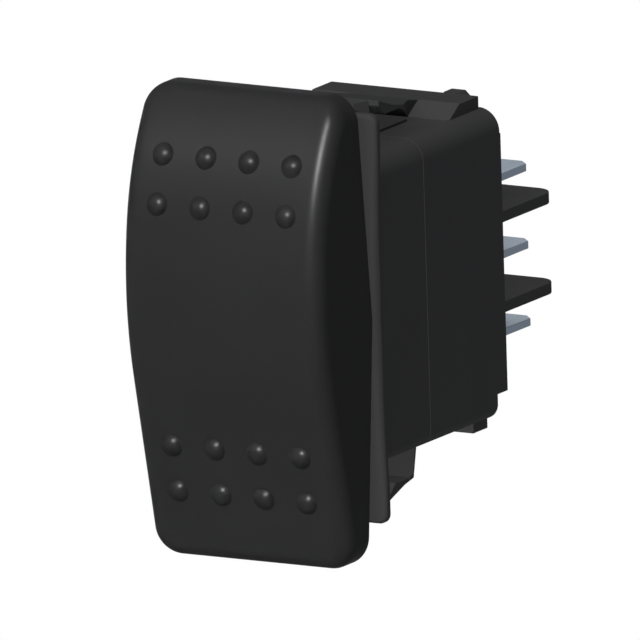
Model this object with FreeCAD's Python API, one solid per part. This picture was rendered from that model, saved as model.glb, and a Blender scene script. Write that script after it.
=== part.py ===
import FreeCAD, Part
import math
import os

# Panel rocker switch, three positions, two poles, millimetres.
# X runs along the narrow side of the face, Y runs back through the panel, Z runs along the tall side.
# The origin is the centre of the panel cut-out in the plane of the panel's front face, against which
# the bezel flange rests. The rocker stands on the -Y side and the terminals on the +Y side.

V = FreeCAD.Vector

# Bezel flange
flange_width = 25.1
flange_height = 42.4
flange_thickness = 0.95
flange_corner_radius = 1.0
flange_edge_radius = 0.45

# Shallow hollow along each long side of the flange, whose front edge is rounder towards the middle
waist_half_length = 17.5
waist_depth = 0.45
waist_edge_radius = 1.15
waist_edge_turn = 80.0
waist_stations = (-1.05, -0.7, -0.35, 0.0, 0.35, 0.7, 1.05)

# Panel cut-out that the body passes through
cutout_height = 36.83
cutout_clearance = 0.12
cutout_rib_depth = 3.0
cutout_rib_width = 1.2
cutout_rib_spacing = 11.0

# Outer body, shared by the bezel sleeve and the base housing
body_width = 21.0
body_height = 31.76
body_top_corner_radius = 2.35
body_bottom_corner_radius = 1.55
sleeve_depth = 11.9
sleeve_wall = 1.6
sleeve_corner_radius = 0.9
front_wall = 0.6
mouth_corner_radius = 0.4
socket_wall = 0.8
socket_depth = 3.3
seat_clearance = 0.05
gasket_thickness = 0.7

# Base housing
base_depth = 27.5
cavity_wall = 1.55
cavity_height = 24.0
cavity_corner_radius = 0.5
floor_thickness = 2.0
plateau_height = 26.7
plateau_step = 0.2
bottom_step = 2.0
divider_thickness = 2.0
divider_front = 14.0

# Barriers between the terminal rows
barrier_spacing = 9.3
barrier_reach = 10.7
barrier_thickness = 1.22
barrier_corner_radius = 2.0

# Straps that tie the sleeve to the wing platforms, in grooves of the base housing
strap_width = 9.5
strap_thickness = 1.2
strap_pad_height = 0.28
strap_pad_front = 13.0
strap_pad_rear = 18.75
hook_depth = 3.3

# Platforms that carry the snap wings: the top one ramped at the front, the bottom one shorter and square
platform_width = 17.2
platform_height = 1.32
platform_front = 20.5
platform_ramp = 2.2
platform_rear = 26.5
bottom_platform_front = 23.6

# Snap wings, from their roots inside the platforms; the top one stands a little higher
wing_root_width = 7.54
wing_root = 24.2
wing_width = 17.2
wing_taper_rear = 20.55
wing_taper_front = 11.47
wing_bend = 9.66
wing_front = 6.5
wing_nose = 4.8
wing_core_width = 15.0
wing_nose_width = 13.2
wing_bend_height = 19.61
wing_front_height = 20.65
wing_nose_height = 20.55
wing_nose_thickness = 0.68
wing_lip_thickness = 0.58
wing_lip_rear = 7.8
wing_heel = 10.63
wing_heel_height = 19.0
wing_foot = 20.5
wing_foot_height = 15.6
top_wing_lift = 0.2

# Key lug on the top rear edge, off centre so that the switch has one right way up
key_left = 4.6
key_right = 6.97
key_front = 26.4
key_rear = 28.0
key_height = 1.45
key_chamfer = 0.7

# Rocker pivot
pivot_y = 5.0
trunnion_radius = 1.6
trunnion_length = 1.2
trunnion_clearance = 0.05
trunnion_end_clearance = 0.1
side_clearance = 0.3
tilt_limit = 4.5

# Rocker paddle
paddle_width = 23.3
paddle_top = 23.75
paddle_bottom = 25.1
paddle_wall = 1.5
paddle_front = 11.75
paddle_crest_z = 3.4
paddle_lower_tilt = 12.1
paddle_crest_radius = 45.0
paddle_upper_start_tilt = 9.1
paddle_upper_radius = 30.6
paddle_corner_radius = 3.0
paddle_edge_radius = 1.9
paddle_gap = 0.12
paddle_skirt_tilt = 4.8

# Raised grip domes on the paddle
dome_diameter = 2.4
dome_height = 0.7
dome_pitch = 5.0
dome_columns = 4
dome_upper_inner_z = 12.4
dome_lower_inner_z = -13.0
dome_upper_tilt = 17.0

# Carrier under the paddle
neck_width = 12.0
neck_height = 4.4
neck_front = -7.5
neck_clearance = 0.35
beam_front = 2.6
beam_rear = 7.4
beam_height = 4.8
clip_thickness = 1.4
clip_width = 3.8
clip_end = -3.0
clip_play = 0.05
barb_depth = 0.35
barb_length = 0.6
seat_rib_width = 8.0
seat_rib_height = 2.0

# Splash seal behind the front wall
seal_thickness = 0.7
seal_lip_reach = 1.4
seal_lip_width = 0.8
seal_gap = 0.3

# Poles and terminals
tab_side_margin = 1.65
terminal_row_pitch = 8.0
tab_width = 6.3
tab_thickness = 0.8
tab_reach = 8.7
tab_tip_chamfer = 1.0
tab_slot_clearance = 0.05
foot_width = 4.4
contact_z = 6.9
contact_radius = 1.4
contact_dome_radius = 8.0
rivet_radius = 0.7
rivet_clearance = 0.03
fixed_contact_height = 0.78
moving_contact_height = 0.55
contact_gap = 0.72
foot_margin = 0.1

# Teetering contact arms, which turn against the rocker by this ratio
arm_ratio = 1.2
arm_width = 4.0
arm_thickness = 0.8
arm_shoulder_width = 5.8
arm_shoulder_height = 3.6
valley_depth = 0.25
valley_width = 3.4
saddle_clearance = 0.05
saddle_inner_x = 2.1
prong_inner_x = 2.25

# Plungers and their springs
plunger_radius = 1.3
plunger_tip_radius = 1.2
plunger_gap = 0.03
plunger_neck_length = 1.37
plunger_body_length = 6.0
plunger_pin_radius = 0.7
plunger_pin_length = 1.2
well_clearance = 0.07
well_wall = 0.58
well_floor_depth = 2.0
well_mouth_margin = 2.0
spring_wire = 0.35
spring_radius = 0.95
spring_turns = 6.5
spring_end_gap = 0.03

# Worked-out places
flange_front = -flange_thickness
body_top = body_height / 2
platform_top = body_top + platform_height
base_end_rear = base_depth - plateau_step
pole_x = body_width / 2 - tab_side_margin - tab_width / 2
cavity_width = body_width - 2 * cavity_wall
floor_front = base_depth - floor_thickness
foot_front = floor_front - tab_thickness
tab_tip = base_depth + tab_reach
cavity_half_height = cavity_height / 2
sleeve_half_width = body_width / 2 - sleeve_wall
sleeve_half_height = body_top - sleeve_wall
socket_front = sleeve_depth - socket_depth
arm_front = foot_front - fixed_contact_height - contact_gap - moving_contact_height - arm_thickness
arm_axis_y = arm_front + arm_thickness + saddle_clearance
valley_floor = arm_front + valley_depth
plunger_end = valley_floor - plunger_gap
tip_centre = plunger_end - plunger_tip_radius
plunger_neck = tip_centre - plunger_neck_length
plunger_shoulder = plunger_neck - plunger_body_length
well_bottom = pivot_y + well_floor_depth
well_mouth = plunger_neck - well_mouth_margin
well_radius = plunger_radius + well_clearance
tube_radius = well_radius + well_wall

# The valley follows the path that the plunger's tip draws in the turning arm
tip_swing = tip_centre - pivot_y
tip_to_axis = arm_axis_y - tip_centre
path_radius = (tip_swing - arm_ratio * tip_to_axis) ** 2 / (
    tip_swing * (1 + 2 * arm_ratio) - arm_ratio**2 * tip_to_axis
)
valley_radius = path_radius + plunger_tip_radius

# The top wing's outer face meets the platform's where the ramp ends
wing_fall = (wing_bend_height + top_wing_lift - platform_top) / (platform_front + platform_ramp - wing_bend)
wing_root_height = wing_bend_height - (wing_root - wing_bend) * wing_fall

# Modelling lengths: how far cutters pass a face, how deep a rib is sunk in its wall, what counts as touching
overshoot = 1.0
sunk_root = 0.5
tolerance = 0.01


def box(x0, x1, y0, y1, z0, z1):
    return Part.makeBox(x1 - x0, y1 - y0, z1 - z0, V(x0, y0, z0))


def rod_x(radius, x0, x1, y, z):
    return Part.makeCylinder(radius, x1 - x0, V(x0, y, z), V(1, 0, 0))


def rod_y(radius, y0, y1, x, z):
    return Part.makeCylinder(radius, y1 - y0, V(x, y0, z), V(0, 1, 0))


def along(edge, axis):
    """Whether a straight edge runs along the axis."""
    return abs(edge.tangentAt(edge.FirstParameter).dot(axis)) > 1 - tolerance


def slab(width, height, y0, y1, top_corner, bottom_corner):
    """A plate across Y whose corners are rounded by one radius at the top and one at the bottom."""
    plate = box(-width / 2, width / 2, y0, y1, -height / 2, height / 2)
    for end, corner in ((1, top_corner), (-1, bottom_corner)):
        edges = [e for e in plate.Edges if along(e, V(0, 1, 0)) and e.CenterOfMass.z * end > 0]
        plate = plate.makeFillet(corner, edges)
    return plate


def body_slab(inset, y0, y1):
    """A plate with the body's outline, moved in by the inset."""
    return slab(
        body_width - 2 * inset,
        body_height - 2 * inset,
        y0,
        y1,
        body_top_corner_radius - inset,
        body_bottom_corner_radius - inset,
    )


def sleeve_slab(y0, y1):
    """A plate with the outline of the sleeve's inside."""
    corner = sleeve_corner_radius
    return slab(2 * sleeve_half_width, 2 * sleeve_half_height, y0, y1, corner, corner)


def prism_x(outline, x0, x1):
    """A side view of (y, z) points, drawn out from x0 to x1."""
    points = [V(x0, y, z) for y, z in outline]
    face = Part.Face(Part.makePolygon(points + points[:1]))
    return face.extrude(V(x1 - x0, 0, 0))


def prism_y(outline, y0, y1):
    """A rear view of (x, z) points, drawn back from y0 to y1."""
    points = [V(x, y0, z) for x, z in outline]
    face = Part.Face(Part.makePolygon(points + points[:1]))
    return face.extrude(V(0, y1 - y0, 0))


def prism_z(outline, z0, z1):
    """A plan view of (x, y) points, drawn out from z0 to z1."""
    points = [V(x, y, z0) for x, y in outline]
    face = Part.Face(Part.makePolygon(points + points[:1]))
    return face.extrude(V(0, 0, z1 - z0))


def mirrored(outline):
    """Closes the right half of a plan view with its mirror image."""
    return outline + [(-x, y) for x, y in reversed(outline)]


def turned_over(shape):
    """The same form at the bottom of the switch."""
    return shape.mirror(V(0, 0, 0), V(0, 0, 1))


def flipped(shape):
    """The same form on the other side of the switch."""
    return shape.mirror(V(0, 0, 0), V(1, 0, 0))


def paddle_profile(inset):
    """Centres and radii of the paddle's front arcs, moved in by the inset."""
    crest_centre = (-paddle_front + paddle_crest_radius, paddle_crest_z)
    crest_radius = paddle_crest_radius - inset
    start = math.radians(paddle_upper_start_tilt)
    step = paddle_crest_radius - paddle_upper_radius
    upper_centre = (crest_centre[0] - step * math.cos(start), crest_centre[1] + step * math.sin(start))
    upper_radius = paddle_upper_radius - inset
    return crest_centre, crest_radius, upper_centre, upper_radius


def on_arc(centre, radius, tilt):
    return V(0, centre[0] - radius * math.cos(tilt), centre[1] + radius * math.sin(tilt))


def paddle_face_y(z):
    """Where the front face of the paddle stands at height z."""
    crest_centre, crest_radius, upper_centre, upper_radius = paddle_profile(0)
    lower_tilt = math.radians(paddle_lower_tilt)
    lower = on_arc(crest_centre, crest_radius, -lower_tilt)
    upper = on_arc(crest_centre, crest_radius, math.radians(paddle_upper_start_tilt))
    if z < lower.z:
        return lower.y + (lower.z - z) * math.tan(lower_tilt)
    if z < upper.z:
        return crest_centre[0] - math.sqrt(crest_radius**2 - (z - crest_centre[1]) ** 2)
    return upper_centre[0] - math.sqrt(upper_radius**2 - (z - upper_centre[1]) ** 2)


def paddle_form(inset, rear):
    """The paddle's block, moved in by the inset on its front and sides; rear lists its back corners."""
    top_z = paddle_top - inset
    bottom_z = inset - paddle_bottom
    crest_centre, crest_radius, upper_centre, upper_radius = paddle_profile(inset)
    lower_tilt = math.radians(paddle_lower_tilt)
    start_tilt = math.radians(paddle_upper_start_tilt)
    end_tilt = math.asin((top_z - upper_centre[1]) / upper_radius)
    lower = on_arc(crest_centre, crest_radius, -lower_tilt)
    crest = on_arc(crest_centre, crest_radius, 0)
    upper = on_arc(crest_centre, crest_radius, start_tilt)
    middle = on_arc(upper_centre, upper_radius, (start_tilt + end_tilt) / 2)
    top = on_arc(upper_centre, upper_radius, end_tilt)
    bottom = V(0, lower.y + (lower.z - bottom_z) * math.tan(lower_tilt), bottom_z)
    back = [V(0, y, z) for y, z in rear]
    edges = [
        Part.LineSegment(bottom, lower).toShape(),
        Part.Arc(lower, crest, upper).toShape(),
        Part.Arc(upper, middle, top).toShape(),
    ]
    corners = [top] + back + [bottom]
    edges += [Part.LineSegment(a, b).toShape() for a, b in zip(corners, corners[1:])]
    side = Part.Face(Part.Wire(edges))
    width = paddle_width - 2 * inset
    side.translate(V(-width / 2, 0, 0))
    bar = side.extrude(V(width, 0, 0))
    corner = paddle_corner_radius - inset
    frame = slab(width, top_z - bottom_z, -paddle_front - overshoot, 3 * overshoot, corner, corner)
    frame.translate(V(0, 0, (top_z + bottom_z) / 2))
    return bar.common(frame)


def front_rim(form):
    """The edges that run round the paddle's front face."""
    near_side = paddle_width / 2 - paddle_corner_radius - tolerance
    rim = []
    for edge in form.Edges:
        middle = edge.valueAt((edge.FirstParameter + edge.LastParameter) / 2)
        places = [middle] + [v.Point for v in edge.Vertexes]
        on_face = all(abs(p.y - paddle_face_y(p.z)) < tolerance for p in places)
        at_end = middle.z > paddle_top - tolerance or middle.z < tolerance - paddle_bottom
        if on_face and (abs(middle.x) > near_side or at_end):
            rim.append(edge)
    return rim


def grip_dome(x, z, tilt):
    """A low round dome that stands square to the face."""
    radius = ((dome_diameter / 2) ** 2 + dome_height**2) / (2 * dome_height)
    sunk = radius - dome_height
    centre = V(x, paddle_face_y(z) + sunk * math.cos(tilt), z - sunk * math.sin(tilt))
    return Part.makeSphere(radius, centre)


def grip_domes():
    upper_tilt = math.radians(dome_upper_tilt)
    lower_tilt = -math.radians(paddle_lower_tilt)
    upper_outer_z = dome_upper_inner_z + dome_pitch * math.cos(upper_tilt)
    lower_outer_z = dome_lower_inner_z - dome_pitch * math.cos(lower_tilt)
    rows = [(dome_upper_inner_z, upper_tilt), (upper_outer_z, upper_tilt)]
    rows += [(dome_lower_inner_z, lower_tilt), (lower_outer_z, lower_tilt)]
    first = -dome_pitch * (dome_columns - 1) / 2
    columns = [first + dome_pitch * i for i in range(dome_columns)]
    return [grip_dome(x, z, tilt) for z, tilt in rows for x in columns]


def rocker_paddle():
    apex = flange_front - paddle_gap
    fall = math.tan(math.radians(paddle_skirt_tilt))
    top_end = (apex - paddle_top * fall, paddle_top)
    bottom_end = (apex - paddle_bottom * fall, -paddle_bottom)
    block = paddle_form(0, [top_end, (apex, 0), bottom_end])
    block = block.makeFillet(paddle_edge_radius, front_rim(block))
    block = block.multiFuse(grip_domes())
    hollow_rear = 2 * overshoot
    hollow_ends = [(hollow_rear, paddle_top - paddle_wall), (hollow_rear, paddle_wall - paddle_bottom)]
    block = block.cut(paddle_form(paddle_wall, hollow_ends))
    inner_front = paddle_face_y(0) + paddle_wall / 2
    for side in (-1, 1):
        inner_x = neck_width / 2 + clip_play
        clip = box(inner_x, inner_x + clip_thickness, inner_front, clip_end, -clip_width / 2, clip_width / 2)
        barb = prism_z(
            [
                (inner_x, clip_end),
                (inner_x - barb_depth, clip_end - barb_length / 2),
                (inner_x - barb_depth, clip_end - barb_length),
                (inner_x, clip_end - barb_length),
            ],
            -clip_width / 2,
            clip_width / 2,
        )
        clip = clip.fuse(barb)
        block = block.fuse(clip if side > 0 else flipped(clip))
    rib = box(
        -seat_rib_width / 2, seat_rib_width / 2, inner_front, neck_front, -seat_rib_height / 2, seat_rib_height / 2
    )
    return block.fuse(rib).removeSplitter()


def rocker_carrier():
    half_neck = neck_width / 2
    neck = box(-half_neck, half_neck, neck_front, beam_rear, -neck_height / 2, neck_height / 2)
    catch = box(
        half_neck - barb_depth,
        half_neck + overshoot,
        clip_end - barb_length - clip_play,
        clip_end + clip_play,
        -neck_height,
        neck_height,
    )
    neck = neck.cut(catch).cut(flipped(catch))
    beam_half = sleeve_half_width - side_clearance
    carrier = neck.fuse(box(-beam_half, beam_half, beam_front, beam_rear, -beam_height / 2, beam_height / 2))
    trunnion_tip = sleeve_half_width + trunnion_length - trunnion_end_clearance - side_clearance
    carrier = carrier.fuse(rod_x(trunnion_radius, -trunnion_tip, trunnion_tip, pivot_y, 0))
    for x in (-pole_x, pole_x):
        carrier = carrier.fuse(rod_y(tube_radius, pivot_y, well_mouth, x, 0))
    for x in (-pole_x, pole_x):
        carrier = carrier.cut(rod_y(well_radius, well_bottom, well_mouth + overshoot, x, 0))
    return carrier.removeSplitter()


def splash_seal():
    """A rubber plate behind the front wall, with a lip round the carrier's neck."""
    swing = (pivot_y - front_wall) * math.sin(math.radians(tilt_limit))
    hole_width = neck_width + 2 * seal_gap
    hole_height = neck_height + 2 * (swing + seal_gap)
    rear = front_wall + seal_lip_reach
    plate = sleeve_slab(front_wall, front_wall + seal_thickness)
    lip_corner = mouth_corner_radius + seal_lip_width
    lip_width = hole_width + 2 * seal_lip_width
    lip_height = hole_height + 2 * seal_lip_width
    lip = slab(lip_width, lip_height, front_wall, rear, lip_corner, lip_corner)
    hole = slab(hole_width, hole_height, 0, rear + overshoot, mouth_corner_radius, mouth_corner_radius)
    return plate.fuse(lip).cut(hole).removeSplitter()


def base_gasket():
    """A flat ring at the bottom of the socket, pressed by the end of the base's spigot."""
    ring = body_slab(socket_wall, socket_front, socket_front + gasket_thickness)
    return ring.cut(sleeve_slab(0, base_depth))


def snap_wing(lift):
    """The top wing: a tongue from the platform that spreads forwards and flares outwards, moved out by the lift."""
    side = [
        (wing_root, wing_root_height),
        (wing_bend, wing_bend_height),
        (wing_front, wing_front_height),
        (wing_nose, wing_nose_height),
        (wing_nose, wing_nose_height - wing_nose_thickness),
        (wing_front, wing_heel_height),
        (wing_heel, wing_heel_height),
        (wing_foot, wing_foot_height),
        (wing_root, wing_foot_height),
    ]
    plan = mirrored(
        [
            (wing_root_width / 2, wing_root),
            (wing_root_width / 2, wing_taper_rear),
            (wing_width / 2, wing_taper_front),
            (wing_width / 2, wing_front),
            (wing_core_width / 2, wing_front),
            (wing_nose_width / 2, wing_nose),
        ]
    )
    wing = prism_x(side, -wing_width / 2, wing_width / 2)
    wing = wing.common(prism_z(plan, 0, flange_height))
    # Beside the core only a lip is left at the front, and behind it the underside slopes down.
    lip_bottom = wing_front_height - wing_lip_thickness
    below_lip = [
        (wing_nose, lip_bottom),
        (wing_front, lip_bottom),
        (wing_lip_rear, wing_heel_height),
        (wing_lip_rear, 0),
        (wing_nose, 0),
    ]
    cutter = prism_x(below_lip, wing_core_width / 2, wing_width)
    wing = wing.cut(cutter).cut(flipped(cutter))
    wing.translate(V(0, 0, lift))
    return wing


def wing_platform(front, ramp):
    """The block at one end of the body, ramped or square at the front on both sides of the wing."""
    ramp_rear = front + ramp
    wedge = [(front, body_top), (ramp_rear, platform_top), (platform_rear, platform_top), (platform_rear, body_top)]
    half = platform_width / 2
    beside_wing = prism_x(wedge, wing_root_width / 2, half)
    middle = box(-half, half, ramp_rear, platform_rear, body_top, platform_top)
    return beside_wing.multiFuse([flipped(beside_wing), middle])


def strap(hook_rear):
    """The strap in its groove, its raised pad and the hook behind the end of the base."""
    bottom = body_top - strap_thickness
    narrow = box(-strap_width / 2, strap_width / 2, sleeve_depth, platform_front, bottom, body_top)
    wide_half = body_width / 2 - body_top_corner_radius
    wide = box(-wide_half, wide_half, platform_front, hook_rear, bottom, body_top)
    hook = box(-wide_half, wide_half, base_end_rear - hook_depth, hook_rear, plateau_height / 2, body_top)
    pad_top = body_top + strap_pad_height
    pad = box(-strap_width / 2, strap_width / 2, strap_pad_front, strap_pad_rear, body_top, pad_top)
    return narrow.multiFuse([wide, hook, pad])


def key_lug():
    """The lug behind the top platform, with its outer top edge cut off."""
    top = body_top + key_height
    bottom = body_top - strap_thickness
    outline = [
        (key_left, bottom),
        (key_right, bottom),
        (key_right, top - key_chamfer),
        (key_right - key_chamfer, top),
        (key_left, top),
    ]
    return prism_y(outline, key_front, key_rear)


def waist_section(station):
    """What the hollow takes from the right side of the flange, at a share of its half length."""
    z = station * waist_half_length
    edge = flange_width / 2 - waist_depth * (1 - station**2)
    swell = max(0, 1 - abs(station))
    radius = flange_edge_radius + (waist_edge_radius - flange_edge_radius) * swell
    last_turn = math.radians(waist_edge_turn)
    turns = (0, last_turn / 2, last_turn)
    centre = V(edge - radius, flange_front + radius, z)
    start, middle, end = [centre + V(math.sin(t), -math.cos(t), 0) * radius for t in turns]
    outside = flange_width / 2 + overshoot
    before = flange_front - overshoot
    rear_corners = [V(edge, overshoot, z), V(outside, overshoot, z)]
    corners = [end] + rear_corners + [V(outside, before, z), V(start.x, before, z), start]
    edges = [Part.Arc(start, middle, end).toShape()]
    edges += [Part.LineSegment(a, b).toShape() for a, b in zip(corners, corners[1:])]
    return Part.Wire(edges)


def bezel_flange():
    """The flange, with its front edges rounded and its long sides hollowed."""
    flange = slab(flange_width, flange_height, flange_front, 0, flange_corner_radius, flange_corner_radius)
    front_edges = [
        e for e in flange.Edges if all(abs(v.Point.y - flange_front) < tolerance for v in e.Vertexes)
    ]
    flange = flange.makeFillet(flange_edge_radius, front_edges)
    hollow = Part.makeLoft([waist_section(s) for s in waist_stations], True)
    return flange.cut(hollow).cut(flipped(hollow))


def bezel_bracket():
    """Flange, sleeve, straps, platforms and snap wings, moulded as one piece."""
    bracket = bezel_flange().fuse(body_slab(0, 0, sleeve_depth))
    bracket = bracket.cut(sleeve_slab(front_wall, sleeve_depth))
    bracket = bracket.cut(body_slab(socket_wall, socket_front, sleeve_depth + overshoot))
    swing = (pivot_y - flange_front) * math.sin(math.radians(tilt_limit))
    mouth_width = neck_width + 2 * neck_clearance
    mouth_height = neck_height + 2 * (swing + neck_clearance)
    mouth_front = flange_front - overshoot
    mouth_rear = front_wall + overshoot
    corner = mouth_corner_radius
    bracket = bracket.cut(slab(mouth_width, mouth_height, mouth_front, mouth_rear, corner, corner))
    hole_tip = sleeve_half_width + trunnion_length - side_clearance
    bracket = bracket.cut(rod_x(trunnion_radius + trunnion_clearance, -hole_tip, hole_tip, pivot_y, 0))
    top_end = (base_end_rear, platform_front, platform_ramp, top_wing_lift, False)
    bottom_end = (base_depth - bottom_step, bottom_platform_front, 0, 0, True)
    for hook_rear, front, ramp, lift, turn in (top_end, bottom_end):
        end = [strap(hook_rear), wing_platform(front, ramp), snap_wing(lift)]
        rib_top = cutout_height / 2 - cutout_clearance
        for x in (-cutout_rib_spacing / 2, cutout_rib_spacing / 2):
            x0 = x - cutout_rib_width / 2
            end.append(box(x0, x0 + cutout_rib_width, 0, cutout_rib_depth, body_top - sunk_root, rib_top))
        if turn:
            end = [turned_over(s) for s in end]
        bracket = bracket.multiFuse(end)
    return bracket.fuse(key_lug()).removeSplitter()


def barrier(z):
    """A thin wall between two terminal rows, with rounded rear corners."""
    root = base_depth - sunk_root
    tip = base_depth + barrier_reach
    half = barrier_thickness / 2
    wall = box(-body_width / 2, body_width / 2, root, tip, z - half, z + half)
    corners = [e for e in wall.Edges if along(e, V(0, 0, 1)) and e.CenterOfMass.y > tip - tolerance]
    return wall.makeFillet(barrier_corner_radius, corners)


def base_housing():
    """Housing behind the sleeve: cavity for the contacts, floor for the terminals, and barriers."""
    half_width = body_width / 2
    half_plateau = plateau_height / 2
    housing = body_slab(0, sleeve_depth, base_end_rear)
    plateau = box(-half_width, half_width, base_end_rear - overshoot, base_depth, -half_plateau, half_plateau)
    housing = housing.fuse(plateau)
    step_y = base_depth - bottom_step
    housing = housing.cut(
        box(-half_width, half_width, step_y, base_depth + overshoot, -body_height, -half_plateau)
    )
    spigot = body_slab(socket_wall + seat_clearance, socket_front + gasket_thickness, sleeve_depth + overshoot)
    housing = housing.fuse(spigot)
    corner = cavity_corner_radius
    housing = housing.cut(slab(cavity_width, cavity_height, 0, floor_front, corner, corner))
    divider_half = divider_thickness / 2
    housing = housing.fuse(
        box(-divider_half, divider_half, divider_front, floor_front, -cavity_half_height, cavity_half_height)
    )
    housing = housing.multiFuse([barrier(barrier_spacing / 2), barrier(-barrier_spacing / 2)])
    for hook_rear, turn in ((base_end_rear + overshoot, False), (step_y + overshoot, True)):
        groove = strap(hook_rear)
        housing = housing.cut(turned_over(groove) if turn else groove)
    slot_width = tab_width / 2 + tab_slot_clearance
    slot_height = tab_thickness / 2 + tab_slot_clearance
    for x in (-pole_x, pole_x):
        for row in (-1, 0, 1):
            z = row * terminal_row_pitch
            slot = box(
                x - slot_width,
                x + slot_width,
                floor_front - overshoot,
                base_depth + overshoot,
                z - slot_height,
                z + slot_height,
            )
            housing = housing.cut(slot)
    return housing.removeSplitter()


def tab_blank(front, x, z):
    """A flat tab from the cavity to its tip behind the floor, with its tip corners cut."""
    half = tab_width / 2
    plan = [
        (x - half, front),
        (x + half, front),
        (x + half, tab_tip - tab_tip_chamfer),
        (x + half - tab_tip_chamfer, tab_tip),
        (x - half + tab_tip_chamfer, tab_tip),
        (x - half, tab_tip - tab_tip_chamfer),
    ]
    return prism_z(plan, z - tab_thickness / 2, z + tab_thickness / 2)


def end_terminal(x, side):
    """A terminal whose inner end is bent over on the floor and holds a fixed contact."""
    z = side * terminal_row_pitch
    blank = tab_blank(foot_front, x, z)
    outer = z + side * tab_thickness / 2
    inner = side * (contact_z - contact_radius - foot_margin)
    half = foot_width / 2
    foot = box(x - half, x + half, foot_front, floor_front, min(inner, outer), max(inner, outer))
    rivet = rod_y(rivet_radius + rivet_clearance, foot_front - overshoot, floor_front, x, side * contact_z)
    return blank.fuse(foot).cut(rivet).removeSplitter()


def common_terminal(x):
    """The middle terminal: two round-nosed prongs at its inner end carry the contact arm."""
    blank = tab_blank(foot_front, x, 0)
    for side in (-1, 1):
        inner = prong_inner_x
        outer = tab_width / 2
        low = x + min(side * inner, side * outer)
        high = x + max(side * inner, side * outer)
        half = tab_thickness / 2
        prong = box(low, high, arm_axis_y, foot_front + half, -half, half)
        nose = rod_x(half, low, high, arm_axis_y, 0)
        blank = blank.multiFuse([prong, nose])
    return blank.removeSplitter()


def contact_button(x, z, back, height, facing):
    """A round contact with a slightly domed face; facing is -1 towards the front and 1 towards the rear."""
    top = back + facing * height
    centre = top - facing * contact_dome_radius
    low, high = sorted((back, top))
    disc = rod_y(contact_radius, low, high, x, z)
    return disc.common(Part.makeSphere(contact_dome_radius, V(x, centre, z)))


def fixed_contact(x, side):
    z = side * contact_z
    button = contact_button(x, z, foot_front, fixed_contact_height, -1)
    return button.fuse(rod_y(rivet_radius, foot_front, floor_front, x, z)).removeSplitter()


def moving_contact(x, side):
    z = side * contact_z
    back = arm_front + arm_thickness
    button = contact_button(x, z, back, moving_contact_height, 1)
    return button.fuse(rod_y(rivet_radius, arm_front, back, x, z)).removeSplitter()


def contact_arm(x):
    """A stamped arm: a valley for the plunger in front, saddles for the prongs behind."""
    rear = arm_front + arm_thickness
    half = arm_width / 2
    tip_z = contact_z + contact_radius
    shoulder = arm_shoulder_width / 2
    shoulder_half = arm_shoulder_height / 2
    arm = box(x - half, x + half, arm_front, rear, -tip_z, tip_z)
    arm = arm.fuse(box(x - shoulder, x + shoulder, arm_front, rear, -shoulder_half, shoulder_half))
    valley_centre = valley_floor - valley_radius
    channel = box(x - valley_width / 2, x + valley_width / 2, arm_front, base_depth, -tip_z, tip_z)
    bulge = rod_x(valley_radius + arm_thickness, x - valley_width / 2, x + valley_width / 2, valley_centre, 0)
    arm = arm.fuse(bulge.common(channel))
    arm = arm.cut(rod_x(valley_radius, x - valley_width / 2, x + valley_width / 2, valley_centre, 0))
    saddle_radius = tab_thickness / 2 + saddle_clearance
    for side in (-1, 1):
        low, high = sorted((side * saddle_inner_x, side * (shoulder + overshoot)))
        arm = arm.cut(rod_x(saddle_radius, x + low, x + high, arm_axis_y, 0))
    for side in (-1, 1):
        hole = rod_y(rivet_radius + rivet_clearance, arm_front - overshoot, rear + overshoot, x, side * contact_z)
        arm = arm.cut(hole)
    return arm.removeSplitter()


def plunger(x):
    """A moulded pin with a round tip, a shoulder for the spring and a pin inside it."""
    body = rod_y(plunger_radius, plunger_shoulder, plunger_neck, x, 0)
    nose = rod_y(plunger_tip_radius, plunger_neck, tip_centre, x, 0)
    tip = Part.makeSphere(plunger_tip_radius, V(x, tip_centre, 0))
    pin = rod_y(plunger_pin_radius, plunger_shoulder - plunger_pin_length, plunger_shoulder, x, 0)
    return body.multiFuse([nose, tip, pin]).removeSplitter()


def plunger_spring(x):
    """A round-wire coil between the well's bottom and the plunger's shoulder."""
    start = well_bottom + spring_end_gap + spring_wire / 2
    end = plunger_shoulder - spring_end_gap - spring_wire / 2
    height = end - start
    helix = Part.makeHelix(height / spring_turns, height, spring_radius)
    wire_start = V(spring_radius, 0, 0)
    section = Part.Wire(Part.makeCircle(spring_wire / 2, wire_start, V(0, 1, 0)))
    coil = Part.Wire(helix).makePipeShell([section], True, True)
    coil.rotate(V(0, 0, 0), V(1, 0, 0), -90)
    coil.translate(V(x, start, 0))
    return coil


def build():
    sides = (("left", -pole_x), ("right", pole_x))
    ends = (("top", 1), ("bottom", -1))
    parts = {
        "rocker_paddle": rocker_paddle(),
        "rocker_carrier": rocker_carrier(),
        "splash_seal": splash_seal(),
        "bezel_bracket": bezel_bracket(),
        "base_gasket": base_gasket(),
        "base_housing": base_housing(),
    }
    for name, x in sides:
        parts["terminal_common_" + name] = common_terminal(x)
        parts["contact_arm_" + name] = contact_arm(x)
        parts["plunger_" + name] = plunger(x)
        parts["plunger_spring_" + name] = plunger_spring(x)
        for end_name, end in ends:
            parts["terminal_" + end_name + "_" + name] = end_terminal(x, end)
            parts["fixed_contact_" + end_name + "_" + name] = fixed_contact(x, end)
            parts["moving_contact_" + end_name + "_" + name] = moving_contact(x, end)
    return parts


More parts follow.
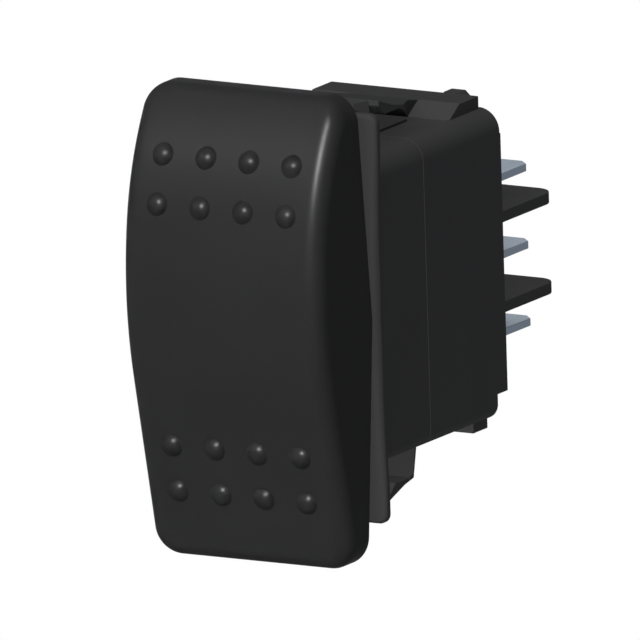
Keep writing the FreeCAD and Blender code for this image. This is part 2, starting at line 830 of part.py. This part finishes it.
def main():
    os.makedirs("parts", exist_ok=True)
    for name, shape in build().items():
        solids = shape.Solids
        solid = solids[0] if len(solids) == 1 else Part.makeCompound(solids)
        bounds = solid.BoundBox
        print(
            f"{name}: solids {len(solids)}, valid {solid.isValid()}, volume {solid.Volume:.2f},",
            f"X {bounds.XMin:.2f} to {bounds.XMax:.2f},",
            f"Y {bounds.YMin:.2f} to {bounds.YMax:.2f},",
            f"Z {bounds.ZMin:.2f} to {bounds.ZMax:.2f}",
        )
        solid.exportStep("parts/" + name + ".step")


main()
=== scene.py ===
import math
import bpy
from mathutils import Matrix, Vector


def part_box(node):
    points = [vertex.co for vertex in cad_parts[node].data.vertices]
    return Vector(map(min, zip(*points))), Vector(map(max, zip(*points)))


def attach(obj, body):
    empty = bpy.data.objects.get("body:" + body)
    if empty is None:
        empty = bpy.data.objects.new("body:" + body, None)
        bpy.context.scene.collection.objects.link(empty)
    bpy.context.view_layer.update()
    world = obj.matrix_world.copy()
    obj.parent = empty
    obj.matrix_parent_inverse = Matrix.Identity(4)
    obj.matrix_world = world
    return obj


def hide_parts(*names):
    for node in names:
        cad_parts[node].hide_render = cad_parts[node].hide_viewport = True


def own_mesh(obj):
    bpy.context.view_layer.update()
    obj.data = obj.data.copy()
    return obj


bl_info = {
    "name": "Panel Rocker Switch",
    "version": (1, 0, 0),
    "blender": (4, 5, 0),
    "location": "3D View > Sidebar > Switch",
    "description": "Dresses the packed rocker switch with rounded mouldings, tabs, springs and finishes",
    "category": "Object",
}

import bpy
from mathutils import Matrix, Vector

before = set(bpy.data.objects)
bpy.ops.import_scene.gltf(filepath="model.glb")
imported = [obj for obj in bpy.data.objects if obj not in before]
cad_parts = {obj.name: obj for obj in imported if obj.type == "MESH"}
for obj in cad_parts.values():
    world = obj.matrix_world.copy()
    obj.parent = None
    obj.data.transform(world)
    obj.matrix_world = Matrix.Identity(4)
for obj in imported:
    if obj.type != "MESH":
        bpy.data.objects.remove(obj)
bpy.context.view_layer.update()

MM = 0.001
POLES = (("left", -5.7 * MM), ("right", 5.7 * MM))
ROWS = (("top", 8.0 * MM), ("common", 0.0), ("bottom", -8.0 * MM))
ENDS = ("top", "bottom")
# Centres (y, z) and tilts in degrees of the rows of grip domes, and the places of their columns
DOME_ROWS = (
    (-10.172 * MM, 12.202 * MM, 17.0),
    (-8.675 * MM, 16.983 * MM, 17.0),
    (-8.593 * MM, -12.858 * MM, -12.1),
    (-7.545 * MM, -17.747 * MM, -12.1),
)
DOME_COLUMNS = (-7.5 * MM, -2.5 * MM, 2.5 * MM, 7.5 * MM)
# The skin over a dome is just larger than the solid dome, and only its cap is kept
DOME_RADIUS = 1.385 * MM
DOME_CAP_HEIGHT = 1.0 * MM
COIL_RADIUS = 0.95 * MM
COIL_STEPS_PER_TURN = 32
COIL_RING_STEPS = 48
WIRE_SIDES = 14
# The base's floor lies this far in front of the barriers' tips
BARRIER_REACH = 10.7 * MM
EJECTOR_HEIGHTS = (11.2 * MM, 2.6 * MM, -11.2 * MM)
EJECTOR_RADIUS = 0.9 * MM

# The picture's right and its line of sight towards the camera, the point on the flange's right edge
# that it is measured from, and the way from there to the picture's middle
CAMERA_RIGHT = (0.8648, 0.5014, -0.0277)
CAMERA_BACK = (0.4946, -0.8410, 0.2190)
FLANGE_EDGE = (12.55, 0, 0)
MIDDLE_RIGHT = -6.616 * MM
MIDDLE_UP = -0.141 * MM
FRAME_WIDTH = 64.646 * MM
CAMERA_DISTANCE = 0.3

# Towards the main light, the light behind, and the two lights that show in the rocker's gloss
KEY_FROM = (0.0, -0.83, 0.55)
REAR_FROM = (-0.72, 0.68, -0.1)
GLINT_FROM = (0.27, -0.80, 0.53)
FRONT_GLINT_FROM = (-0.50, -0.72, 0.48)
# Shares of the key light with and without shadows, and of the glint on the rocker's upper face
SHADOWED_SHARE = 0.08
OPENING_SHARE = 0.92
FRONT_GLINT_SHARE = 0.043
FLOOR_WHITE = 0.85
WORLD_LIGHT = 0.22


# Selecting and shaping


def clear_selection():
    if bpy.context.object and bpy.context.object.mode != "OBJECT":
        bpy.ops.object.mode_set(mode="OBJECT")
    bpy.ops.object.select_all(action="DESELECT")


def take(piece):
    clear_selection()
    piece.select_set(True)
    bpy.context.view_layer.objects.active = piece
    return piece


def named(name):
    """Names the primitive that was just added."""
    piece = bpy.context.object
    piece.name = piece.data.name = name
    return piece


def settle(piece):
    """Puts the piece's place into its mesh, so that its object stands at the origin."""
    take(piece)
    bpy.ops.object.transform_apply(location=True, rotation=True, scale=True)


def apply_modifier(piece, kind, **settings):
    take(piece)
    modifier = piece.modifiers.new(kind.title(), kind)
    for key, value in settings.items():
        setattr(modifier, key, value)
    bpy.ops.object.modifier_apply(modifier=modifier.name)


def edit_all(piece, *steps):
    """Runs edit mode steps with the whole mesh selected."""
    take(piece)
    bpy.ops.object.mode_set(mode="EDIT")
    for step in steps:
        bpy.ops.mesh.select_all(action="SELECT")
        step()
    bpy.ops.object.mode_set(mode="OBJECT")


def joined_copy(node, name):
    """A copy of a CAD node whose loose triangles are joined."""
    piece = bpy.data.objects.new(name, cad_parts[node].data.copy())
    piece.data.name = name
    piece.data.materials.clear()
    bpy.context.scene.collection.objects.link(piece)
    edit_all(piece, lambda: bpy.ops.mesh.remove_doubles(threshold=0.0005 * MM))
    return piece


def whole_faces(node, name):
    """A joined copy of a CAD node whose flat faces are each made whole."""
    piece = joined_copy(node, name)
    edit_all(piece, lambda: bpy.ops.mesh.dissolve_limited(angle_limit=math.radians(0.05)))
    return piece


def round_edges(piece, width, segments, sharp_degrees=32, crease_degrees=32):
    """Rounds each edge over the sharp angle, and shades smooth across those below the crease angle."""
    take(piece)
    bpy.ops.object.shade_smooth_by_angle(angle=math.radians(crease_degrees))
    apply_modifier(
        piece,
        "BEVEL",
        width=width,
        segments=segments,
        limit_method="ANGLE",
        angle_limit=math.radians(sharp_degrees),
        use_clamp_overlap=False,
        harden_normals=True,
    )


def fit(piece, body, finish, slot, *nodes):
    """Gives the piece its finish, its body, and the CAD nodes that it stands for."""
    piece.data.materials.clear()
    piece.data.materials.append(finish)
    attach(piece, body)
    if nodes:
        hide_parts(*nodes)
    return piece


# Shader arithmetic


class Signal:
    """A shader output that takes part in Python arithmetic."""

    def __init__(self, finish, socket):
        self.finish = finish
        self.socket = socket

    def combine(self, operation, first, second):
        return self.finish.add("ShaderNodeMath", {"operation": operation}, {0: first, 1: second})

    def __add__(self, other):
        return self.combine("ADD", self, other)

    def __sub__(self, other):
        return self.combine("SUBTRACT", self, other)

    def __rsub__(self, other):
        return self.combine("SUBTRACT", other, self)

    def __mul__(self, other):
        return self.combine("MULTIPLY", self, other)

    def __pow__(self, other):
        return self.combine("POWER", self, other)

    __radd__ = __add__
    __rmul__ = __mul__


class Finish:
    """A material under construction."""

    def __init__(self, name):
        self.material = bpy.data.materials.new(name)
        self.material.use_nodes = True
        self.tree = self.material.node_tree
        self.tree.nodes.clear()

    def add(self, kind, settings=None, inputs=None, output=0):
        """Adds a node: its settings first, then the values and links of its sockets."""
        node = self.tree.nodes.new(kind)
        for key, value in (settings or {}).items():
            setattr(node, key, value)
        for key, value in (inputs or {}).items():
            if isinstance(value, Signal):
                self.tree.links.new(value.socket, node.inputs[key])
            else:
                node.inputs[key].default_value = value
        return Signal(self, node.outputs[output]) if node.outputs else None

    def place(self, stretch=(1, 1, 1)):
        """The point on the object, stretched along the axes."""
        point = self.add("ShaderNodeTexCoord", output="Object")
        return self.add("ShaderNodeMapping", {}, {"Vector": point, "Scale": stretch})

    def noise(self, place, scale, detail=2.0, roughness=0.5):
        inputs = {"Vector": place, "Scale": scale, "Detail": detail, "Roughness": roughness}
        return self.add("ShaderNodeTexNoise", {}, inputs)

    def blend(self, factor, low, high):
        """A colour between two colours, which are sockets 6 and 7 of a Mix node, with the result at 2."""
        settings = {"data_type": "RGBA"}
        return self.add("ShaderNodeMix", settings, {0: factor, 6: low, 7: high}, output=2)

    def bump(self, height, depth, strength):
        return self.add("ShaderNodeBump", {}, {"Height": height, "Distance": depth, "Strength": strength})

    def surface(self, **inputs):
        named_inputs = {key.replace("_", " "): value for key, value in inputs.items()}
        shader = self.add("ShaderNodeBsdfPrincipled", {}, named_inputs)
        self.add("ShaderNodeOutputMaterial", {}, {"Surface": shader})
        return self.material


def shade(colour, factor):
    return tuple(min(1.0, part * factor) for part in colour[:3]) + (1.0,)


def moulded_plastic(name, colour, roughness, grain_depth, gloss):
    """Satin moulding: eroded grain, slow flow marks and a few rubbed spots."""
    finish = Finish(name)
    place = finish.place()
    grain = finish.noise(place, scale=5200, detail=3.0, roughness=0.6)
    flow = finish.noise(finish.place((1, 1.8, 0.6)), scale=95, detail=3.0, roughness=0.55)
    rubbed = finish.noise(place, scale=900, detail=4.0, roughness=0.7) ** 4
    return finish.surface(
        Base_Color=finish.blend(flow, shade(colour, 0.92), shade(colour, 1.08)),
        Roughness=(grain * 0.09 + flow * 0.07 + (roughness - 0.08)) - rubbed * 0.12,
        Specular_IOR_Level=gloss,
        Normal=finish.bump(grain, grain_depth, 0.5),
    )


def soft_rubber(name, colour):
    """Matt rubber with a pale bloom and fine pores."""
    finish = Finish(name)
    place = finish.place()
    bloom = finish.noise(place, scale=700, detail=5.0, roughness=0.65)
    pores = finish.noise(place, scale=6000)
    return finish.surface(
        Base_Color=finish.blend(bloom, shade(colour, 0.8), shade(colour, 1.5)),
        Roughness=0.72 + bloom * 0.14,
        Specular_IOR_Level=0.25,
        Normal=finish.bump(pores, 0.01 * MM, 0.4),
    )


def worked_metal(name, colour, roughness, stretch, tarnish, metallic=1.0, edge_tint=(1, 1, 1, 1)):
    """Metal with drawing or rolling lines that run along the least stretched axis."""
    finish = Finish(name)
    lines = finish.noise(finish.place(stretch), scale=1.0, detail=4.0, roughness=0.6)
    patches = finish.noise(finish.place(), scale=420, detail=4.0, roughness=0.6)
    clean = finish.blend(lines, shade(colour, 0.9), shade(colour, 1.08))
    return finish.surface(
        Base_Color=finish.blend(patches ** 2 * tarnish, clean, shade(colour, 0.55)),
        Metallic=metallic,
        Specular_Tint=edge_tint,
        Roughness=lines * 0.14 + patches * 0.1 + (roughness - 0.1),
        Normal=finish.bump(lines, 0.004 * MM, 0.5),
    )


# Sizes and colours that a user would change


class SwitchSizes(bpy.types.PropertyGroup):
    edge_round: bpy.props.FloatProperty(
        name="Edge rounding",
        description="Width of the rounding on moulded edges",
        default=0.09 * MM,
        unit="LENGTH",
        precision=5,
    )
    seal_round: bpy.props.FloatProperty(
        name="Seal rounding",
        description="Width of the rounding on rubber edges",
        default=0.16 * MM,
        unit="LENGTH",
        precision=5,
    )
    tab_hole: bpy.props.FloatProperty(
        name="Tab hole",
        description="Diameter of the detent hole in each tab",
        default=1.7 * MM,
        unit="LENGTH",
        precision=5,
    )
    tab_hole_depth: bpy.props.FloatProperty(
        name="Hole from tip",
        description="From a tab's tip to the middle of its hole",
        default=3.9 * MM,
        unit="LENGTH",
        precision=5,
    )
    spring_wire: bpy.props.FloatProperty(
        name="Spring wire",
        description="Diameter of the spring wire",
        default=0.35 * MM,
        unit="LENGTH",
        precision=5,
    )
    spring_turns: bpy.props.IntProperty(
        name="Spring turns",
        description="Open turns of each spring",
        default=6,
        min=3,
        max=12,
    )


class SwitchColours(bpy.types.PropertyGroup):
    rocker: bpy.props.FloatVectorProperty(
        name="Rocker",
        description="Colour of the rocker",
        default=(0.0345, 0.0345, 0.0355),
        size=3,
        subtype="COLOR",
    )
    body: bpy.props.FloatVectorProperty(
        name="Body",
        description="Colour of the bezel and the base",
        default=(0.068, 0.068, 0.069),
        size=3,
        subtype="COLOR",
    )
    tabs: bpy.props.FloatVectorProperty(
        name="Tabs",
        description="Colour of the plated tabs",
        default=(0.115, 0.14, 0.172),
        size=3,
        subtype="COLOR",
    )
    key_light: bpy.props.FloatProperty(
        name="Key light",
        description="Strength of the main lamp",
        default=2.15,
        min=0.0,
    )
    glint: bpy.props.FloatProperty(
        name="Glint",
        description="Strength of the rocker's highlights",
        default=470.0,
        min=0.0,
    )


# Stage


class SWITCH_OT_stage(bpy.types.Operator):
    """Adds the camera, lamps, pale floor and white background"""

    bl_idname = "switch.stage"
    bl_label = "Stage"

    def execute(self, context):
        self.camera(context.scene)
        strength = context.scene.switch_colours.key_light
        self.lamp("key", KEY_FROM, strength * SHADOWED_SHARE, softness=14)
        # The same light again without shadows opens up the gaps under the flange and the wings
        opening = self.lamp("opening", KEY_FROM, strength * OPENING_SHARE, softness=14)
        opening.data.use_shadow = False
        self.lamp("rear", REAR_FROM, 0.5, softness=25)
        self.floor()
        self.background(context.scene)
        context.scene.view_settings.view_transform = "Standard"
        return {"FINISHED"}

    def camera(self, scene):
        """A parallel view from the photograph's angle."""
        clear_selection()
        right = Vector(CAMERA_RIGHT)
        back = Vector(CAMERA_BACK).normalized()
        right = (right - back * right.dot(back)).normalized()
        up = back.cross(right)
        aim = Vector(FLANGE_EDGE) * MM + right * MIDDLE_RIGHT + up * MIDDLE_UP
        turned = Matrix((right, up, back)).transposed().to_4x4()
        bpy.ops.object.camera_add()
        camera = bpy.context.object
        camera.name = "camera"
        camera.data.type = "ORTHO"
        camera.data.ortho_scale = FRAME_WIDTH
        camera.data.clip_start = 0.01
        camera.matrix_world = Matrix.Translation(aim + back * CAMERA_DISTANCE) @ turned
        scene.camera = camera

    def lamp(self, name, direction, strength, softness):
        """A distant lamp, with its softness in degrees."""
        bpy.ops.object.light_add(type="SUN")
        lamp = bpy.context.object
        lamp.name = name
        lamp.data.energy = strength
        lamp.data.angle = math.radians(softness)
        lamp.rotation_euler = Vector(direction).to_track_quat("Z", "Y").to_euler()
        return lamp

    def floor(self):
        """A pale floor below the switch that shows white in the picture and in reflections."""
        bpy.ops.mesh.primitive_circle_add(
            vertices=96, radius=0.12, fill_type="NGON", location=(0, 0.01, -0.1)
        )
        floor = named("floor")
        finish = Finish("pale floor")
        seen = finish.add("ShaderNodeLightPath", output="Is Camera Ray")
        mirrored = finish.add("ShaderNodeLightPath", output="Is Glossy Ray")
        through = finish.add("ShaderNodeLightPath", output="Is Transmission Ray")
        pale = finish.add("ShaderNodeBsdfDiffuse", {}, {"Color": (0.8, 0.8, 0.8, 1)})
        white = finish.add("ShaderNodeEmission", {}, {"Color": (1, 1, 1, 1), "Strength": 1.0})
        share = (seen + mirrored + through) * FLOOR_WHITE
        shown = finish.add("ShaderNodeMixShader", {}, {0: share, 1: pale, 2: white})
        finish.add("ShaderNodeOutputMaterial", {}, {"Surface": shown})
        floor.data.materials.append(finish.material)
        settle(floor)

    def background(self, scene):
        """Soft light all round that shows white in the picture and in reflections."""
        world = bpy.data.worlds.new("studio")
        scene.world = world
        world.use_nodes = True
        nodes, links = world.node_tree.nodes, world.node_tree.links
        nodes.clear()
        path = nodes.new("ShaderNodeLightPath")
        seen = nodes.new("ShaderNodeMath")
        seen.operation = "MAXIMUM"
        links.new(path.outputs["Is Camera Ray"], seen.inputs[0])
        links.new(path.outputs["Is Glossy Ray"], seen.inputs[1])
        through = nodes.new("ShaderNodeMath")
        through.operation = "MAXIMUM"
        links.new(seen.outputs[0], through.inputs[0])
        links.new(path.outputs["Is Transmission Ray"], through.inputs[1])
        soft = nodes.new("ShaderNodeBackground")
        soft.inputs["Color"].default_value = (0.95, 0.97, 1.0, 1)
        soft.inputs["Strength"].default_value = WORLD_LIGHT
        white = nodes.new("ShaderNodeBackground")
        white.inputs["Strength"].default_value = 1.0
        white.inputs["Color"].default_value = (1, 1, 1, 1)
        mix = nodes.new("ShaderNodeMixShader")
        links.new(through.outputs[0], mix.inputs[0])
        links.new(soft.outputs[0], mix.inputs[1])
        links.new(white.outputs[0], mix.inputs[2])
        out = nodes.new("ShaderNodeOutputWorld")
        links.new(mix.outputs[0], out.inputs["Surface"])


# Pieces


class SWITCH_OT_rocker(bpy.types.Operator):
    """Makes the rocker cap with its grip domes"""

    bl_idname = "switch.rocker"
    bl_label = "Rocker cap"

    def execute(self, context):
        colours = context.scene.switch_colours
        finish = moulded_plastic(
            "rocker plastic", colours.rocker, roughness=0.385, grain_depth=0.003 * MM, gloss=0.002
        )
        cap = joined_copy("rocker_paddle", "rocker_cap")
        # The rims are rounded, and the domes meet the face in a sharp line
        round_edges(cap, 0.04 * MM, 3, sharp_degrees=70)
        bpy.ops.mesh.customdata_custom_splitnormals_clear()
        domes = [self.dome(x, *row) for row in DOME_ROWS for x in DOME_COLUMNS]
        take(cap)
        for dome in domes:
            dome.select_set(True)
        bpy.ops.object.join()
        bpy.ops.object.shade_smooth_by_angle(angle=math.radians(32))
        fit(cap, "rocker", finish, "rocker", "rocker_paddle")
        self.glint("glint", cap, GLINT_FROM, colours.glint)
        self.glint("front glint", cap, FRONT_GLINT_FROM, colours.glint * FRONT_GLINT_SHARE)
        return {"FINISHED"}

    def dome(self, x, y, z, tilt):
        """A fine round skin over a grip dome, cut off just below the face, from its sphere's centre."""
        clear_selection()
        bpy.ops.mesh.primitive_uv_sphere_add(segments=64, ring_count=40, radius=DOME_RADIUS)
        dome = bpy.context.object
        base = (0, 0, DOME_RADIUS - DOME_CAP_HEIGHT)
        bisect = {"plane_co": base, "plane_no": (0, 0, 1), "clear_inner": True, "use_fill": True}
        edit_all(dome, lambda: bpy.ops.mesh.bisect(**bisect))
        dome.rotation_euler.x = math.radians(90 - tilt)
        dome.location = (x, y, z)
        settle(dome)
        return dome

    def glint(self, name, cap, direction, strength):
        """A lamp that shows only in the cap's gloss, on its domes, edges and upper face."""
        clear_selection()
        bpy.ops.object.light_add(type="SUN")
        lamp = bpy.context.object
        lamp.name = name
        lamp.data.energy = strength
        lamp.data.angle = math.radians(4)
        lamp.data.cycles.max_bounces = 0
        lamp.rotation_euler = Vector(direction).to_track_quat("Z", "Y").to_euler()
        lamp.visible_diffuse = False
        lit = bpy.data.collections.new(name + " receivers")
        lit.objects.link(cap)
        lamp.light_linking.receiver_collection = lit


class SWITCH_OT_body(bpy.types.Operator):
    """Makes the bezel moulding, the base moulding and the marks that their mould leaves"""

    bl_idname = "switch.body"
    bl_label = "Bezel and base"

    def execute(self, context):
        sizes = context.scene.switch_sizes
        colour = context.scene.switch_colours.body
        finish = moulded_plastic("body plastic", colour, roughness=0.50, grain_depth=0.004 * MM, gloss=0.0)
        for node, name in (("bezel_bracket", "bezel_moulding"), ("base_housing", "base_moulding")):
            moulding = whole_faces(node, name)
            round_edges(moulding, sizes.edge_round, 2, crease_degrees=13)
            fit(moulding, "housing", finish, "body", node)
        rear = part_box("base_housing")[1].y - BARRIER_REACH
        marks = [self.pin_mark((0, rear, z), EJECTOR_RADIUS) for z in EJECTOR_HEIGHTS]
        take(marks[0])
        for mark in marks[1:]:
            mark.select_set(True)
        bpy.ops.object.join()
        fit(named("ejector_marks"), "housing", finish, "body")
        return {"FINISHED"}

    def pin_mark(self, place, radius):
        """A low disc with a sunk middle, as an ejector pin leaves."""
        clear_selection()
        bpy.ops.mesh.primitive_cylinder_add(
            vertices=48, radius=radius, depth=0.12 * MM, location=place, rotation=(math.pi / 2, 0, 0)
        )
        disc = bpy.context.object
        settle(disc)
        bpy.ops.object.mode_set(mode="EDIT")
        bpy.ops.mesh.select_all(action="DESELECT")
        bpy.ops.object.mode_set(mode="OBJECT")
        for face in disc.data.polygons:
            face.select = face.normal.y > 0.9
        bpy.ops.object.mode_set(mode="EDIT")
        bpy.ops.mesh.inset(thickness=radius * 0.14)
        bpy.ops.transform.translate(value=(0, -0.04 * MM, 0))
        bpy.ops.object.mode_set(mode="OBJECT")
        round_edges(disc, 0.015 * MM, 2)
        return disc


class SWITCH_OT_tabs(bpy.types.Operator):
    """Makes the six plated tabs, each with its detent hole"""

    bl_idname = "switch.tabs"
    bl_label = "Tabs"

    def execute(self, context):
        sizes = context.scene.switch_sizes
        finish = worked_metal(
            "plated tab",
            context.scene.switch_colours.tabs,
            roughness=0.24,
            stretch=(9000, 260, 9000),
            tarnish=0.2,
            metallic=0.8,
            edge_tint=(0.84, 0.92, 1.0, 1),
        )
        for side, x in POLES:
            for row, z in ROWS:
                node = "terminal_%s_%s" % (row, side)
                tab = whole_faces(node, "tab_%s_%s" % (row, side))
                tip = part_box(node)[1].y
                bpy.ops.mesh.primitive_cylinder_add(
                    vertices=40,
                    radius=sizes.tab_hole / 2,
                    depth=4 * MM,
                    location=(x, tip - sizes.tab_hole_depth, z),
                )
                punch = bpy.context.object
                apply_modifier(tab, "BOOLEAN", operation="DIFFERENCE", object=punch, solver="EXACT")
                bpy.data.objects.remove(punch)
                round_edges(tab, 0.07 * MM, 2)
                fit(tab, "housing", finish, "terminal", node)
        return {"FINISHED"}


class SWITCH_OT_works(bpy.types.Operator):
    """Makes the carrier, plungers, contact arms and contacts"""

    bl_idname = "switch.works"
    bl_label = "Inner works"

    def execute(self, context):
        black = moulded_plastic(
            "carrier plastic", (0.05, 0.05, 0.052), roughness=0.48, grain_depth=0.006 * MM, gloss=0.3
        )
        natural = moulded_plastic(
            "natural acetal", (0.72, 0.70, 0.64), roughness=0.36, grain_depth=0.003 * MM, gloss=0.5
        )
        brass = worked_metal(
            "rolled brass", (0.80, 0.56, 0.24), roughness=0.28, stretch=(7000, 7000, 240), tarnish=0.5
        )
        bright = worked_metal(
            "contact metal", (0.84, 0.83, 0.80), roughness=0.2, stretch=(3000, 3000, 3000), tarnish=0.3
        )
        # CAD node, piece, rounding in mm, body, finish and slot
        self.rounded("rocker_carrier", "carrier_moulding", 0.08, "rocker", black, "carrier")
        for side, _ in POLES:
            plunger, arm = "plunger_" + side, "arm_" + side
            self.rounded(plunger, "plunger_pin_" + side, 0.06, plunger, natural, "plunger")
            self.rounded("contact_" + arm, "rocking_" + arm, 0.05, arm, brass, "arm")
            for end in ENDS:
                tail = "_%s_%s" % (end, side)
                self.rounded("fixed_contact" + tail, "fixed_stud" + tail, 0.04, "housing", bright, "contact")
                self.rounded("moving_contact" + tail, "moving_stud" + tail, 0.04, arm, bright, "contact")
        return {"FINISHED"}

    def rounded(self, node, name, width_mm, body, finish, slot):
        width = width_mm * MM
        piece = whole_faces(node, name)
        round_edges(piece, width, 2)
        fit(piece, body, finish, slot, node)


class SWITCH_OT_seals(bpy.types.Operator):
    """Makes the rubber splash seal and gasket"""

    bl_idname = "switch.seals"
    bl_label = "Seal and gasket"

    def execute(self, context):
        finish = soft_rubber("seal rubber", (0.02, 0.02, 0.021))
        width = context.scene.switch_sizes.seal_round
        for node, name in (("splash_seal", "neck_seal"), ("base_gasket", "socket_gasket")):
            piece = whole_faces(node, name)
            round_edges(piece, width, 3)
            fit(piece, "housing", finish, "seal", node)
        return {"FINISHED"}


class SWITCH_OT_springs(bpy.types.Operator):
    """Winds the two plunger springs, with closed ends"""

    bl_idname = "switch.springs"
    bl_label = "Plunger springs"

    def execute(self, context):
        sizes = context.scene.switch_sizes
        finish = worked_metal(
            "spring wire", (0.56, 0.57, 0.58), roughness=0.3, stretch=(6000, 6000, 6000), tarnish=0.3
        )
        wire = sizes.spring_wire / 2
        steps = COIL_STEPS_PER_TURN * sizes.spring_turns
        for side, x in POLES:
            low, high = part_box("plunger_spring_" + side)
            start, end = low.y + wire, high.y - wire
            clear_selection()
            bpy.ops.mesh.primitive_circle_add(vertices=WIRE_SIDES, radius=wire)
            coil = named("coil_" + side)
            settle(coil)
            edit_all(coil, lambda: bpy.ops.transform.translate(value=(COIL_RADIUS, start, 0)))
            apply_modifier(
                coil,
                "SCREW",
                axis="Y",
                angle=2 * math.pi * sizes.spring_turns,
                screw_offset=end - start,
                steps=steps,
                render_steps=steps,
                use_merge_vertices=True,
            )
            rings = []
            for y in (start, end):
                clear_selection()
                bpy.ops.mesh.primitive_torus_add(
                    major_segments=COIL_RING_STEPS,
                    minor_segments=WIRE_SIDES,
                    major_radius=COIL_RADIUS,
                    minor_radius=wire,
                    location=(0, y, 0),
                    rotation=(math.pi / 2, 0, 0),
                )
                rings.append(bpy.context.object)
            take(coil)
            for ring in rings:
                ring.select_set(True)
            bpy.ops.object.join()
            coil.location.x = x
            settle(coil)
            edit_all(
                coil,
                lambda: bpy.ops.mesh.fill_holes(sides=WIRE_SIDES + 2),
                lambda: bpy.ops.mesh.normals_make_consistent(inside=False),
            )
            bpy.ops.object.shade_smooth_by_angle(angle=math.radians(50))
            fit(coil, "rocker", finish, "spring", "plunger_spring_" + side)
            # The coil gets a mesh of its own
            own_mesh(coil)
        return {"FINISHED"}


class SWITCH_PT_panel(bpy.types.Panel):
    """Lists the pieces of the switch"""

    bl_idname = "SWITCH_PT_panel"
    bl_label = "Rocker switch"
    bl_space_type = "VIEW_3D"
    bl_region_type = "UI"
    bl_category = "Switch"

    def draw(self, context):
        layout = self.layout
        for group in (context.scene.switch_sizes, context.scene.switch_colours):
            for key in group.__annotations__:
                layout.prop(group, key)
        for step in STEPS:
            layout.operator(step.bl_idname)


STEPS = (
    SWITCH_OT_stage,
    SWITCH_OT_rocker,
    SWITCH_OT_body,
    SWITCH_OT_tabs,
    SWITCH_OT_works,
    SWITCH_OT_seals,
    SWITCH_OT_springs,
)
CLASSES = (SwitchSizes, SwitchColours) + STEPS + (SWITCH_PT_panel,)


def register():
    for cls in CLASSES:
        bpy.utils.register_class(cls)
    bpy.types.Scene.switch_sizes = bpy.props.PointerProperty(type=SwitchSizes)
    bpy.types.Scene.switch_colours = bpy.props.PointerProperty(type=SwitchColours)


def unregister():
    del bpy.types.Scene.switch_colours
    del bpy.types.Scene.switch_sizes
    for cls in reversed(CLASSES):
        bpy.utils.unregister_class(cls)


def main():
    register()
    bpy.ops.switch.stage()
    bpy.ops.switch.rocker()
    bpy.ops.switch.body()
    bpy.ops.switch.tabs()
    bpy.ops.switch.works()
    bpy.ops.switch.seals()
    bpy.ops.switch.springs()


if __name__ == "__main__":
    main()
